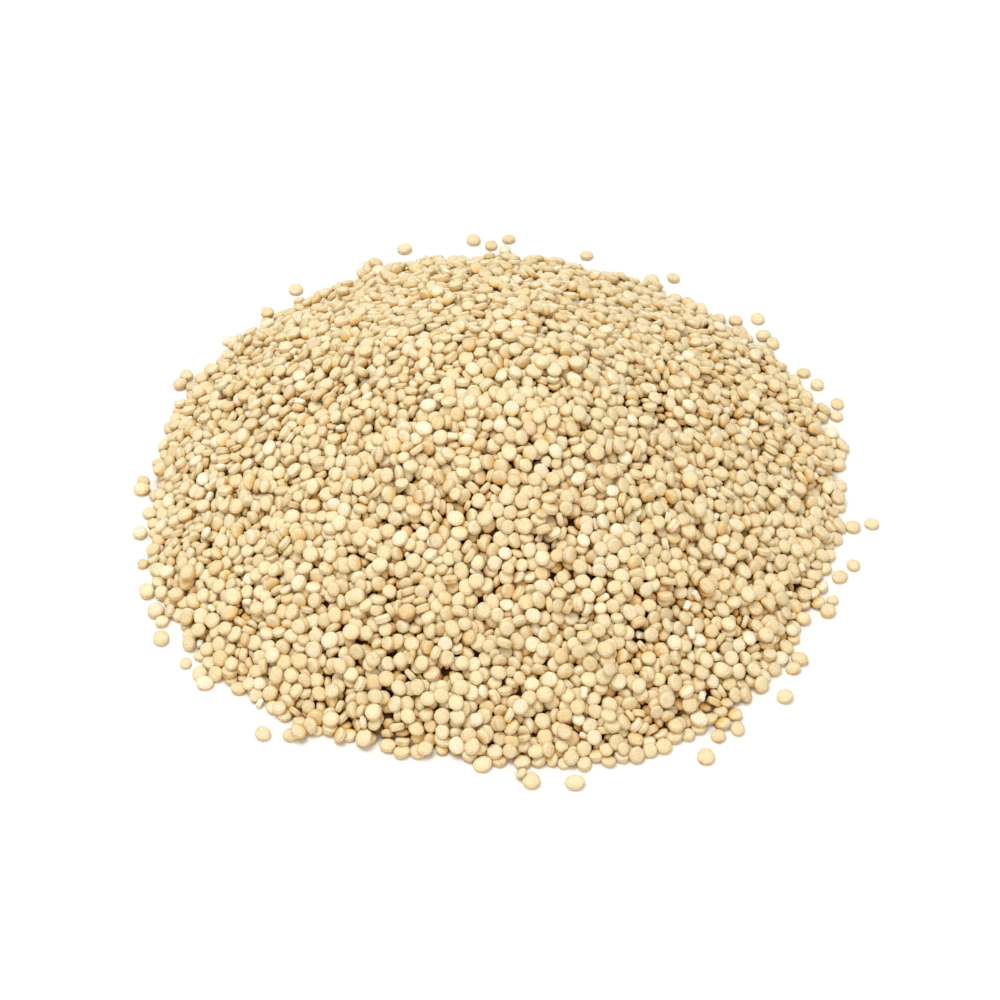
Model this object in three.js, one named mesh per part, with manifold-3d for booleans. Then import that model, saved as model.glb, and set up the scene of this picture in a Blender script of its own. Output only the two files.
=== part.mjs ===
// A heap of dry quinoa seeds as it lies on a flat surface, with the few seeds that rolled clear of it.
// Millimetres and degrees, +Z up, the surface at z = 0 and the front of the heap towards -Y.

import * as THREE from 'three';
import { mergeVertices } from 'three/addons/utils/BufferGeometryUtils.js';
import Module from 'manifold-3d';

const wasm = await Module();
wasm.setup();

// ---- Driving dimensions: one seed ----
const SEED_DIAMETER = 2.1;
const SEED_THICKNESS = 1.15;
const SEED_SIDES = 8;
const SEED_RIM_HEIGHT = 0.2; // height of the widest point above the middle, as a share of the thickness
const SEED_FLAT_SHARE = 0.6; // radius of the flat underside, as a share of the seed's radius

// ---- Driving dimensions: the heap ----
const HEAP_RADIUS = 47.5; // mean distance from the middle to the foot of the slope
const HEAP_HEIGHT = 24.8; // height of the rounded top, without the seeds on it
const TOP_ROUNDING = 0.28; // share of the radius over which the cone's tip is rounded off
const FOOT_HEIGHT = 0.9; // height of the slope where it meets the outline
const FOOT_STEEPNESS = 2; // fall beyond the outline, in mm for each mm outwards

// The outline's lobes: how many go round, how far they reach and where the first one points.
const OUTLINE_LOBES = [
  { count: 1, reach: 0.9, bearing: -78 },
  { count: 4, reach: 0.6, bearing: 25 },
  { count: 5, reach: 0.55, bearing: 13 },
];

// The slope's broad unevenness: length of each wave, its height and the way it runs.
const SLOPE_WAVES = [
  { length: 27, height: 0.35, bearing: 20 },
  { length: 17, height: 0.25, bearing: 145 },
  { length: 11, height: 0.2, bearing: 80 },
];

// ---- Driving dimensions: the seeds that show on the heap ----
const BUMP_SPACING = 2.5; // from one seed's top to the next
const BUMP_RISE = [0.35, 0.85]; // how far a seed's top stands above the slope
const BUMP_SINK = [0.25, 0.5]; // how far the hollows between seeds lie below it
const BUMP_SHIFT = 0.25; // sideways shift of tops and hollows, as a share of the lattice step
const SLOPE_SEEDS = 30;
const GOLDEN_ANGLE = 180 * (3 - Math.sqrt(5)); // the turn from one slope seed to the next
const SLOPE_SEED_RISE = 0.3; // a whole seed's middle above the slope
const SLOPE_SEED_TILT = 40;
const SLOPE_SEED_REACH = 0.93; // the outermost one, as a share of the outline's radius
const FOOT_SEEDS = 30;
const FOOT_SEED_SHIFT = 0.2; // shift along the foot, as a share of the way from one to the next
const FOOT_SEED_OVERHANG = [-0.2, 0.45]; // a foot seed's middle beyond the outline
const FOOT_SEED_RISE = [0.45, 0.7];
const FOOT_SEED_TILT = 25;
const SEED_SIZE_SPREAD = [0.9, 1.1];

// ---- Driving dimensions: the stray seeds, by bearing, gap from the outline to their middle, and size ----
const STRAY_SEEDS = [
  { bearing: -8, gap: 4.2, diameter: 1.9 },
  { bearing: -17, gap: 3.0, diameter: 1.9 },
  { bearing: -20, gap: 1.8, diameter: 2.1 },
  { bearing: -25, gap: 2.0, diameter: 1.7 },
  { bearing: -38, gap: 1.8, diameter: 2.2 },
  { bearing: -45, gap: 3.4, diameter: 2.1 },
  { bearing: -54, gap: 2.4, diameter: 2.0 },
  { bearing: -57, gap: 1.8, diameter: 1.9 },
  { bearing: -60.5, gap: 3.6, diameter: 2.3 },
  { bearing: -79, gap: 2.4, diameter: 2.3 },
  { bearing: -85, gap: 1.9, diameter: 2.3 },
  { bearing: -121, gap: 1.8, diameter: 2.1 },
  { bearing: -124.5, gap: 3.4, diameter: 2.1 },
  { bearing: -139, gap: 1.8, diameter: 2.0 },
  { bearing: -142, gap: 2.2, diameter: 1.7 },
  { bearing: -148, gap: 3.0, diameter: 2.3 },
  { bearing: 179, gap: 1.8, diameter: 1.8 },
  { bearing: 127, gap: 3.3, diameter: 2.1 },
  { bearing: 106, gap: 4.0, diameter: 2.2 },
  { bearing: 94, gap: 4.1, diameter: 2.2 },
  { bearing: 91, gap: 2.8, diameter: 1.9 },
  { bearing: 88, gap: 4.3, diameter: 2.0 },
  { bearing: 74, gap: 3.0, diameter: 2.0 },
  { bearing: 58, gap: 4.0, diameter: 2.0 },
  { bearing: 41, gap: 4.1, diameter: 2.0 },
  { bearing: 35, gap: 1.8, diameter: 2.1 },
  { bearing: 18, gap: 2.6, diameter: 1.9 },
];
const STRAY_CLEAR_BEARING = 5; // no foot seed lies within this angle of a stray one

// ---- Driving dimensions: the blank that the heap is cut from ----
const BLANK_MARGIN = 4; // how far the blank runs past the outline
const BLANK_DEPTH = 30; // its half thickness, more than the slope falls at its corners
const RANDOM_SEED = 7;

// ---- Small helpers ----

const UP = new THREE.Vector3(0, 0, 1);
const radians = THREE.MathUtils.degToRad;

/** The point at a bearing in degrees, a distance from the middle and a height. */
function pointAt(bearing, distance, height) {
  return new THREE.Vector3(distance * Math.cos(radians(bearing)), distance * Math.sin(radians(bearing)), height);
}

/** A repeatable random number between low and high. */
function randomBetween([low, high]) {
  return low + (high - low) * THREE.MathUtils.seededRandom();
}

/** A repeatable random number between -reach and reach. */
function randomWithin(reach) {
  return randomBetween([-reach, reach]);
}

/** A closed three.js geometry as a solid that can be joined and cut. */
function toSolid(geometry) {
  const bare = geometry.clone();
  bare.deleteAttribute('normal');
  bare.deleteAttribute('uv');
  const merged = mergeVertices(bare, 1e-5);
  return new wasm.Manifold(
    new wasm.Mesh({
      numProp: 3,
      vertProperties: new Float32Array(merged.attributes.position.array),
      triVerts: new Uint32Array(merged.index.array),
    }),
  );
}

/** A solid as a three.js geometry again. */
function toGeometry(solid) {
  const mesh = solid.getMesh();
  const geometry = new THREE.BufferGeometry();
  geometry.setAttribute('position', new THREE.BufferAttribute(mesh.vertProperties, 3));
  geometry.setIndex(new THREE.BufferAttribute(mesh.triVerts, 1));
  geometry.computeVertexNormals();
  return geometry;
}

// ---- The heap's form ----

/** Distance from the middle to the outline at a bearing in radians. */
function outlineRadius(bearing) {
  return OUTLINE_LOBES.reduce(
    (radius, lobe) => radius + lobe.reach * Math.cos(lobe.count * (bearing - radians(lobe.bearing))),
    HEAP_RADIUS,
  );
}

/** Height of the broad waves on the slope. */
function waveHeight(x, y) {
  return SLOPE_WAVES.reduce((height, wave) => {
    const along = x * Math.cos(radians(wave.bearing)) + y * Math.sin(radians(wave.bearing));
    return height + wave.height * Math.sin((2 * Math.PI * along) / wave.length);
  }, 0);
}

/** Height of the slope, a cone with a rounded tip that falls away steeply past its outline. */
function slopeHeight(x, y) {
  const distance = Math.hypot(x, y);
  const outline = outlineRadius(Math.atan2(y, x));
  if (distance > outline) {
    return FOOT_HEIGHT - (distance - outline) * FOOT_STEEPNESS;
  }
  const share = distance / outline;
  const fall = Math.hypot(share, TOP_ROUNDING) - TOP_ROUNDING;
  const wholeFall = Math.hypot(1, TOP_ROUNDING) - TOP_ROUNDING;
  const cone = HEAP_HEIGHT - ((HEAP_HEIGHT - FOOT_HEIGHT) * fall) / wholeFall;
  return cone + waveHeight(x, y) * (1 - share);
}

/** The slope's outward direction at a point. */
function slopeNormal(x, y) {
  const step = SEED_DIAMETER / 2;
  const alongX = slopeHeight(x - step, y) - slopeHeight(x + step, y);
  const alongY = slopeHeight(x, y - step) - slopeHeight(x, y + step);
  return new THREE.Vector3(alongX, alongY, 2 * step).normalize();
}

/**
 * The heap covered with a bump for each seed. A finely divided slab is sheared so that its corners form a
 * lattice of equal triangles, and every third corner is a seed's top with six faces round it.
 */
function bumpySlope() {
  const step = BUMP_SPACING / Math.sqrt(3);
  const rowHeight = Math.sin(Math.PI / 3);
  const cells = 2 * Math.ceil((HEAP_RADIUS + BLANK_MARGIN) / (rowHeight * step));
  const side = cells * step;
  const slab = new THREE.BoxGeometry(side, side, 2 * BLANK_DEPTH, cells, cells, 1);
  slab.deleteAttribute('normal');
  slab.deleteAttribute('uv');
  const lattice = mergeVertices(slab, step / 10);
  const corners = lattice.attributes.position;
  for (let i = 0; i < corners.count; i += 1) {
    const column = Math.round(corners.getX(i) / step + cells / 2);
    const row = Math.round(corners.getY(i) / step + cells / 2);
    const x = corners.getX(i) - corners.getY(i) / 2 + randomWithin(BUMP_SHIFT * step);
    const y = corners.getY(i) * rowHeight + randomWithin(BUMP_SHIFT * step);
    const isTop = (column + row) % 3 === 0;
    const bump = isTop ? randomBetween(BUMP_RISE) : -randomBetween(BUMP_SINK);
    const height = Math.max(slopeHeight(x, y) + bump, 1 - BLANK_DEPTH);
    corners.setXYZ(i, x, y, corners.getZ(i) > 0 ? height : -BLANK_DEPTH);
  }
  return toSolid(lattice);
}

// ---- The seeds ----

/** Thickness of a seed of this diameter. */
function seedThickness(diameter) {
  return (SEED_THICKNESS * diameter) / SEED_DIAMETER;
}

/** One seed: a low drum with a domed top, widest just above its middle, and a small flat underside. */
function seedGeometry(diameter) {
  const radius = diameter / 2;
  const thickness = seedThickness(diameter);
  const profile = [
    new THREE.Vector2(0, -thickness / 2),
    new THREE.Vector2(radius * SEED_FLAT_SHARE, -thickness / 2),
    new THREE.Vector2(radius, thickness * SEED_RIM_HEIGHT),
    new THREE.Vector2(0, thickness / 2),
  ];
  const geometry = new THREE.LatheGeometry(profile, SEED_SIDES);
  geometry.rotateX(Math.PI / 2);
  return geometry;
}

/** A whole seed set at a point, facing along a direction and then tilted at random. */
function placedSeed(position, facing, tilt) {
  const geometry = seedGeometry(SEED_DIAMETER * randomBetween(SEED_SIZE_SPREAD));
  const turn = new THREE.Quaternion().setFromUnitVectors(UP, facing);
  const tiltAxis = new THREE.Vector3(1, 0, 0).applyAxisAngle(UP, randomWithin(Math.PI));
  turn.multiply(new THREE.Quaternion().setFromAxisAngle(tiltAxis, radians(randomWithin(tilt))));
  geometry.applyQuaternion(turn);
  geometry.translate(position.x, position.y, position.z);
  return toSolid(geometry);
}

/** Whole seeds spread evenly over the slope along a sunflower spiral. */
function slopeSeeds() {
  return Array.from({ length: SLOPE_SEEDS }, (_, index) => {
    const bearing = index * GOLDEN_ANGLE;
    const reach = outlineRadius(radians(bearing)) * SLOPE_SEED_REACH;
    const position = pointAt(bearing, reach * Math.sqrt((index + 0.5) / SLOPE_SEEDS), 0);
    position.z = slopeHeight(position.x, position.y) + SLOPE_SEED_RISE;
    return placedSeed(position, slopeNormal(position.x, position.y), SLOPE_SEED_TILT);
  });
}

/** True where a seed at this bearing in degrees would crowd one of the stray seeds. */
function nearStray(bearing) {
  return STRAY_SEEDS.some((stray) => {
    const apart = THREE.MathUtils.euclideanModulo(bearing - stray.bearing + 180, 360) - 180;
    return Math.abs(apart) < STRAY_CLEAR_BEARING;
  });
}

/** Whole seeds that lean on the foot of the heap and make its outline uneven. */
function footSeeds() {
  const apart = 360 / FOOT_SEEDS;
  const places = Array.from({ length: FOOT_SEEDS }, (_, index) => index + randomWithin(FOOT_SEED_SHIFT));
  const clear = places.map((place) => place * apart).filter((bearing) => !nearStray(bearing));
  return clear.map((bearing) => {
    const distance = outlineRadius(radians(bearing)) + randomBetween(FOOT_SEED_OVERHANG);
    const position = pointAt(bearing, distance, randomBetween(FOOT_SEED_RISE));
    return placedSeed(position, UP, FOOT_SEED_TILT);
  });
}

// ---- The parts ----

const seedMaterial = new THREE.MeshStandardMaterial({ color: 0xdfc596, roughness: 0.55, metalness: 0 });

/** The heap, one solid cut off flat at the surface it lies on. */
function quinoaHeap() {
  const heap = [...slopeSeeds(), ...footSeeds()].reduce((solid, seed) => solid.add(seed), bumpySlope());
  const room = 4 * HEAP_RADIUS;
  const aboveSurface = new THREE.BoxGeometry(room, room, room).translate(0, 0, room / 2);
  const mesh = new THREE.Mesh(toGeometry(heap.intersect(toSolid(aboveSurface))), seedMaterial);
  mesh.name = 'quinoa_heap';
  return mesh;
}

/** The stray seeds, each lying on its flat underside. */
function straySeeds() {
  return STRAY_SEEDS.map(({ bearing, gap, diameter }, index) => {
    const mesh = new THREE.Mesh(seedGeometry(diameter), seedMaterial);
    const distance = outlineRadius(radians(bearing)) + gap;
    mesh.name = `stray_seed_${String(index + 1).padStart(2, '0')}`;
    mesh.position.copy(pointAt(bearing, distance, seedThickness(diameter) / 2));
    mesh.rotation.z = randomWithin(Math.PI);
    return mesh;
  });
}

/** The heap and its stray seeds, with the origin under the middle of their common box. */
function quinoa() {
  THREE.MathUtils.seededRandom(RANDOM_SEED);
  const lying = new THREE.Group();
  lying.add(quinoaHeap(), ...straySeeds());
  const middle = new THREE.Box3().setFromObject(lying, true).getCenter(new THREE.Vector3());
  lying.position.set(-middle.x, -middle.y, 0);
  const whole = new THREE.Group();
  whole.add(lying);
  return whole;
}

export default quinoa();
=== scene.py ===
"""A round heap of dry quinoa seeds, with stray seeds lying round its foot.

The sizes in the classes are in millimetres, and become metres where a mesh is made. The heap's form comes
from its solid in the frame. Seeds settle between that form and a core inside it, and are then joined into a
few meshes.
"""

import logging
import math
from collections.abc import Callable, Iterable
from dataclasses import dataclass, field
from enum import Enum

import bpy
import numpy as np
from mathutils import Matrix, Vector
from mathutils.bvhtree import BVHTree


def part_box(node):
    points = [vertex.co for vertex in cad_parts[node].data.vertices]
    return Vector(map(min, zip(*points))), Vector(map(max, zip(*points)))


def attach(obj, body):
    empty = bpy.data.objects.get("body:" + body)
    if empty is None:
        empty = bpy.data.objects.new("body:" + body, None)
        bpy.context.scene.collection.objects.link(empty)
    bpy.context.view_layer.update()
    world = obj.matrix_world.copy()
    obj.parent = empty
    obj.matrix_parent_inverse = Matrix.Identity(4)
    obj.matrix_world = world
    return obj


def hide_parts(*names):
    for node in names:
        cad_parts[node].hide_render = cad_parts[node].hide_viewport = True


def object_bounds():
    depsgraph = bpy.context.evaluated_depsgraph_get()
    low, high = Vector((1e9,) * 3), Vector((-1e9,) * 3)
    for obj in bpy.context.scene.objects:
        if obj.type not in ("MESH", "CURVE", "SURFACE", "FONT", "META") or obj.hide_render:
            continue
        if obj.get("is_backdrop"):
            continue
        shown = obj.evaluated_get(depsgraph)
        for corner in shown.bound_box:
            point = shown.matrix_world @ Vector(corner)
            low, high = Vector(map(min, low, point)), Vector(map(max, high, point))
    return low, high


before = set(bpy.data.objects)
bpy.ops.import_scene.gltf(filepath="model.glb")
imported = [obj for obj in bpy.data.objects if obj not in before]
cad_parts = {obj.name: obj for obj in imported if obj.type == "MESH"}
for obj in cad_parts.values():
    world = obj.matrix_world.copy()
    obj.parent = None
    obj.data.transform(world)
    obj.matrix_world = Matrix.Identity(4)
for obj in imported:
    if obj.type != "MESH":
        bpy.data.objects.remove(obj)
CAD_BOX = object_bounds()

LOG = logging.getLogger("quinoa")
MM = 0.001
BODY = "root"
HEAP_NODE = "quinoa_heap"
STRAY_PREFIX = "stray_seed_"
PLACE_ATTRIBUTE = "seed_place"
MOOD_ATTRIBUTE = "seed_mood"
UP = (0.0, 0.0, 1.0)
NEIGHBOURS = [(x, y) for x in (-1, 0, 1) for y in (-1, 0, 1)]
SHORTEST = 1e-9

Colour = tuple[float, float, float]
Point = tuple[float, float, float]
Span = tuple[float, float]


# ---------------------------------------------------------------- shader maths


class Expression:
    """A value in a shader. Sums, products and powers of it are written in Python and add Math nodes."""

    def __init__(self, shader: "Shader", socket: bpy.types.NodeSocket) -> None:
        """Wraps an output socket of one of the shader's nodes."""
        self.shader = shader
        self.socket = socket

    def math(self, operation: str, *values: "Expression | float") -> "Expression":
        """Adds a Math node that works on the values in their order.

        Args:
            operation: The Math node's operation.
            values: Its inputs, each an expression or a number.

        Returns:
            The node's result.
        """
        return self.shader.add("ShaderNodeMath", {"operation": operation}, dict(enumerate(values)))

    def __add__(self, other: "Expression | float") -> "Expression":
        """Self plus other."""
        return self.math("ADD", self, other)

    def __radd__(self, other: float) -> "Expression":
        """Other plus self."""
        return self.math("ADD", other, self)

    def __sub__(self, other: "Expression | float") -> "Expression":
        """Self minus other."""
        return self.math("SUBTRACT", self, other)

    def __rsub__(self, other: float) -> "Expression":
        """Other minus self."""
        return self.math("SUBTRACT", other, self)

    def __mul__(self, other: "Expression | float") -> "Expression":
        """Self times other."""
        return self.math("MULTIPLY", self, other)

    def __rmul__(self, other: float) -> "Expression":
        """Other times self."""
        return self.math("MULTIPLY", other, self)

    def clamped(self) -> "Expression":
        """Self, kept between 0 and 1."""
        return self.math("MINIMUM", self.math("MAXIMUM", self, 0.0), 1.0)

    def rising(self, start: float, end: float) -> "Expression":
        """Goes smoothly from 0 to 1 as self goes from start to end, or back if end is the smaller.

        Args:
            start: Where the result is 0.
            end: Where the result is 1.

        Returns:
            The smooth step.
        """
        low, high = min(start, end), max(start, end)
        values = {"Value": self, "From Min": low, "From Max": high, "To Min": float(start > end)}
        values["To Max"] = float(end > start)
        return self.shader.add("ShaderNodeMapRange", {"interpolation_type": "SMOOTHSTEP"}, values)

    def peak(self, middle: float, width: float) -> "Expression":
        """Is 1 where self is at the middle, and fades to 0 over the width on both sides."""
        return (self - middle).size().rising(width, 0.0)

    def size(self) -> "Expression":
        """Self without its sign."""
        return self.math("ABSOLUTE", self)

    def varying(self, start: float, end: float, reach: float) -> "Expression":
        """Goes smoothly from 1 - reach to 1 + reach as self goes from start to end."""
        return (1 - reach) + 2 * reach * self.rising(start, end)


class Shader:
    """One material and its nodes. Its surface is the Principled shader that Blender gives a new material."""

    MIX_FACTOR, MIX_FIRST, MIX_SECOND, MIX_RESULT = 0, 6, 7, 2

    def __init__(self, name: str) -> None:
        """Makes the material."""
        self.material = bpy.data.materials.new(name)
        self.material.use_nodes = True
        self.tree = self.material.node_tree
        self.surface = self.tree.nodes["Principled BSDF"]

    def feed(self, socket: bpy.types.NodeSocket, value: object) -> None:
        """Links an expression to a socket, or writes a plain value on it."""
        if isinstance(value, Expression):
            self.tree.links.new(value.socket, socket)
        else:
            socket.default_value = value

    def add(
        self,
        kind: str,
        settings: dict[str, object] | None = None,
        values: dict[str | int, object] | None = None,
        output: str | int = 0,
    ) -> Expression:
        """Adds a node.

        Args:
            kind: The node's type.
            settings: What the node itself is set to, before its sockets.
            values: The values or expressions of its input sockets.
            output: The output socket that is wanted.

        Returns:
            That output.
        """
        node = self.tree.nodes.new(kind)
        for name, value in (settings or {}).items():
            setattr(node, name, value)
        for name, value in (values or {}).items():
            self.feed(node.inputs[name], value)
        return Expression(self, node.outputs[output])

    def mix(
        self, factor: "Expression | float", first: object, second: object, blend: str = "MIX"
    ) -> Expression:
        """Mixes two colours.

        Args:
            factor: How much of the second colour there is.
            first: The first colour.
            second: The second colour.
            blend: The Mix node's way of blending.

        Returns:
            The mixed colour.
        """
        colours = [value if isinstance(value, Expression) else (*value, 1.0) for value in (first, second)]
        return self.add(
            "ShaderNodeMix",
            {"data_type": "RGBA", "blend_type": blend},
            {self.MIX_FACTOR: factor, self.MIX_FIRST: colours[0], self.MIX_SECOND: colours[1]},
            self.MIX_RESULT,
        )

    def attribute(self, name: str) -> tuple[Expression, Expression, Expression]:
        """The three numbers of a mesh attribute."""
        vector = self.add("ShaderNodeAttribute", {"attribute_name": name}, output="Vector")
        return tuple(self.add("ShaderNodeSeparateXYZ", {}, {"Vector": vector}, axis) for axis in "XYZ")

    def grain(self, size: float, detail: float = 2.0, roughness: float = 0.5) -> Expression:
        """Noise that is fixed to the object.

        Args:
            size: About how large its patches are, in millimetres.
            detail: How many finer levels it has.
            roughness: How strong the finer levels are.

        Returns:
            The noise, from 0 to 1.
        """
        place = self.add("ShaderNodeTexCoord", output="Object")
        values = {"Vector": place, "Scale": 1 / (size * MM), "Detail": detail, "Roughness": roughness}
        return self.add("ShaderNodeTexNoise", {}, values, "Fac")

    def raised(self, height: Expression, distance: float, strength: float = 1.0) -> Expression:
        """A normal for the surface raised by the height times the distance, which is in millimetres."""
        values = {"Height": height, "Distance": distance * MM, "Strength": strength}
        return self.add("ShaderNodeBump", {}, values, "Normal")

    def finish(self, **values: object) -> bpy.types.Material:
        """Feeds the surface's sockets, named with _ for each space, and returns the material."""
        for name, value in values.items():
            self.feed(self.surface.inputs[name.replace("_", " ")], value)
        return self.material


# ---------------------------------------------------------------- finishes


class SeedMarks:
    """Where the marks on a seed are, each from 0 to 1.

    A mark comes in between two distances from the seed's middle, as shares of its radius, and between two
    heights over its middle plane, as shares of its half thickness. A narrow mark has a middle and a width.
    """

    EDGE, SIDE_LEVEL = (0.84, 1.0), (0.60, 0.10)
    RING, RING_LEVEL = (0.78, 0.08), (0.5, 0.85)
    # The lip is a paler rim along each face's edge with a painted highlight on it
    LIP, LIP_LEVEL = (0.89, 0.07), (0.4, 0.8)
    TIP, TIP_LEVEL, TIP_TAPER = (0.66, 1.0), (0.95, 0.35), 0.35
    WORN, RING_LEFT, LIP_LEFT, LIP_WORN = (0.38, 0.60), 0.2, 1.1, 0.6
    CREASE = (0.5, 0.05)
    MOTTLE_GRAIN, DUST_GRAIN, CREASE_GRAIN = (0.55, 2.0, 0.6), (0.24, 2.0, 0.6), (0.75, 1.0, 0.5)

    def __init__(self, shader: Shader) -> None:
        """Works the marks out from each seed's own place attribute and from noise.

        Args:
            shader: The shader of the seeds' coat.
        """
        across, along, height = shader.attribute(PLACE_ATTRIBUTE)
        flat = shader.add("ShaderNodeCombineXYZ", {}, {"X": across, "Y": along})
        radius = shader.add("ShaderNodeVectorMath", {"operation": "LENGTH"}, {0: flat}, "Value")
        lift = height.size()
        self.mottle = shader.grain(*self.MOTTLE_GRAIN)
        self.dust = shader.grain(*self.DUST_GRAIN)
        self.crease = shader.grain(*self.CREASE_GRAIN).peak(*self.CREASE)
        worn = self.mottle.rising(*self.WORN)
        self.edge = radius.rising(*self.EDGE)
        self.side = self.edge * lift.rising(*self.SIDE_LEVEL)
        ring = radius.peak(*self.RING) * lift.rising(*self.RING_LEVEL)
        self.ring = ring * (self.RING_LEFT + worn)
        lip = radius.peak(*self.LIP) * lift.rising(*self.LIP_LEVEL)
        self.lip = lip * (self.LIP_LEFT - self.LIP_WORN * worn)
        nearness = across - self.TIP_TAPER * along.size()
        self.tip = nearness.rising(*self.TIP) * lift.rising(*self.TIP_LEVEL)


@dataclass(frozen=True)
class SeedFinish:
    """The coat of one kind of seed.

    Args:
        name: The material's name.
        coat: The usual colour of its faces.
        deep: The colour of its darkest seeds.
        rim: The colour of the band round its edge.
        germ: The colour of the germ's tip, which shows at one place on the edge.
        glow: A painted shade, warmer and a little darker, that the colour is multiplied by on the lower side
            of each seed.
        shadow: A painted shadow of dark brown that the colour is multiplied by far below a seed's top or deep
            in the heap.
        clearness: How much light goes a little way into it.
        clear_depth: How far the light goes, in millimetres.
        clear_colour: How far each colour of the light goes, as a share of that.
        roughness: How dull it is where it is clean.
        dusty_roughness: How much duller its dust is.
        relief: How high its marks stand, in millimetres.
        relief_strength: How strongly the relief shows.
        sheen: How strongly it reflects.
    """

    # How far the marks bring in the rim's colour and the germ's, and where the noise and the warmth do so
    RIM_TINT, WARM_TINT, MOTTLE_TINT, SPOTTED = 0.5, 0.2, 0.28, (0.48, 0.70)
    TIP_TINT, WARM_TIP_TINT, WARM = 0.15, 0.85, (0.35, 0.8)
    # How much the marks lighten or darken the coat; the lip's lightening is partly a paler rim and partly a
    # painted highlight
    LIP_LIGHT, SIDE_DARK, RING_DARK, CREASE_DARK = 0.10, 0.11, 0.07, 0.12
    MOTTLE_DARK, DUST_DARK = (0.33, 0.67, 0.035), (0.36, 0.64, 0.04)
    # How high or low the marks are in the relief
    MOTTLE_RISE, DUST_RISE, RING_DIP, SIDE_DIP = 0.3, 0.25, 0.30, 0.15
    # How far into a gap the painted shade of the lower side and the painted shadow come in
    GLOWING, SHADED = (0.0, 0.5), (0.55, 1.30)

    name: str
    coat: Colour
    deep: Colour
    rim: Colour
    germ: Colour
    glow: Colour = (1.0, 0.79, 0.46)
    shadow: Colour = (0.10, 0.03, 0.003)
    clearness: float = 0.12
    clear_depth: float = 0.45
    clear_colour: Colour = (1.0, 0.55, 0.22)
    roughness: float = 0.46
    dusty_roughness: float = 0.12
    relief: float = 0.13
    relief_strength: float = 0.9
    sheen: float = 0.30

    def stain(self, marks: SeedMarks) -> Expression:
        """How much lighter or darker than plain each place of the coat is.

        Args:
            marks: The marks on the seeds.

        Returns:
            A factor near 1.
        """
        stain = 1.0 + marks.lip * self.LIP_LIGHT - marks.side * self.SIDE_DARK
        stain = stain - marks.ring * self.RING_DARK - marks.crease * self.CREASE_DARK
        return stain * marks.mottle.varying(*self.MOTTLE_DARK) * marks.dust.varying(*self.DUST_DARK)

    def material(self) -> bpy.types.Material:
        """Makes the material from each seed's own place and mood attributes.

        Returns:
            The material.
        """
        shader = Shader(self.name)
        marks = SeedMarks(shader)
        shade, warmth, gap = shader.attribute(MOOD_ATTRIBUTE)
        colour = shader.mix(shade, self.coat, self.deep)
        colour = shader.mix(marks.edge * self.RIM_TINT, colour, self.rim)
        spots = marks.tip * (self.TIP_TINT + self.WARM_TIP_TINT * warmth.rising(*self.WARM))
        spots = spots + warmth * self.WARM_TINT + marks.mottle.rising(*self.SPOTTED) * self.MOTTLE_TINT
        colour = shader.mix(spots.clamped(), colour, self.germ)
        stain = self.stain(marks)
        grey = shader.add("ShaderNodeCombineColor", {}, {"Red": stain, "Green": stain, "Blue": stain})
        colour = shader.mix(1.0, colour, grey, "MULTIPLY")
        # Painted shade: each seed is drawn warmer and darker on its lower side, and dark brown far below its
        # top or deep in the heap
        for span, painted_shade_colour in ((self.GLOWING, self.glow), (self.SHADED, self.shadow)):
            colour = shader.mix(gap.rising(*span), colour, shader.mix(1.0, colour, painted_shade_colour, "MULTIPLY"))
        relief = self.MOTTLE_RISE * marks.mottle + self.DUST_RISE * marks.dust
        relief = relief - self.RING_DIP * marks.ring - self.SIDE_DIP * marks.side
        return shader.finish(
            Base_Color=colour,
            Roughness=self.roughness + self.dusty_roughness * marks.dust,
            Normal=shader.raised(relief, self.relief, self.relief_strength),
            Subsurface_Weight=self.clearness,
            Subsurface_Radius=self.clear_colour,
            Subsurface_Scale=self.clear_depth * MM,
            Specular_IOR_Level=self.sheen,
        )


@dataclass(frozen=True)
class CoreFinish:
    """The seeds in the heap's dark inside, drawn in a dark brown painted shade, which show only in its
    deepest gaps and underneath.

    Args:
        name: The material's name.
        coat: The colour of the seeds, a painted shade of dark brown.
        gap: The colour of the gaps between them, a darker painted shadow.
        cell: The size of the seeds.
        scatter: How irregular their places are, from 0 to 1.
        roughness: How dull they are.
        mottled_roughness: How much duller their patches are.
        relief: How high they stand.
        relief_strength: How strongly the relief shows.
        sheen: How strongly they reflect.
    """

    # How far from a seed's middle its gap and its dome begin and end, and how strong the noise in them is
    GAP, DOME, SPOTTED, UNEVEN = (0.30, 0.62), (0.65, 0.25), 0.25, 0.2
    MOTTLE_GRAIN = (0.7, 3.0, 0.6)

    name: str = "packed_seeds"
    coat: Colour = (0.11, 0.045, 0.010)
    gap: Colour = (0.03, 0.010, 0.002)
    cell: float = 2.0
    scatter: float = 0.85
    roughness: float = 0.62
    mottled_roughness: float = 0.1
    relief: float = 0.25
    relief_strength: float = 0.8
    sheen: float = 0.25

    def material(self) -> bpy.types.Material:
        """Makes the material.

        Returns:
            The material.
        """
        shader = Shader(self.name)
        place = shader.add("ShaderNodeTexCoord", output="Object")
        values = {"Vector": place, "Scale": 1 / (self.cell * MM), "Randomness": self.scatter}
        distance = shader.add("ShaderNodeTexVoronoi", {"feature": "F1"}, values, "Distance")
        mottle = shader.grain(*self.MOTTLE_GRAIN)
        # Painted shadow: darker towards the gaps between the drawn seeds and in noisy patches
        dark = distance.rising(*self.GAP) + self.SPOTTED * mottle
        return shader.finish(
            Base_Color=shader.mix(dark.clamped(), self.coat, self.gap),
            Roughness=self.roughness + self.mottled_roughness * mottle,
            Normal=shader.raised(
                distance.rising(*self.DOME) + self.UNEVEN * mottle, self.relief, self.relief_strength
            ),
            Specular_IOR_Level=self.sheen,
        )


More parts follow.
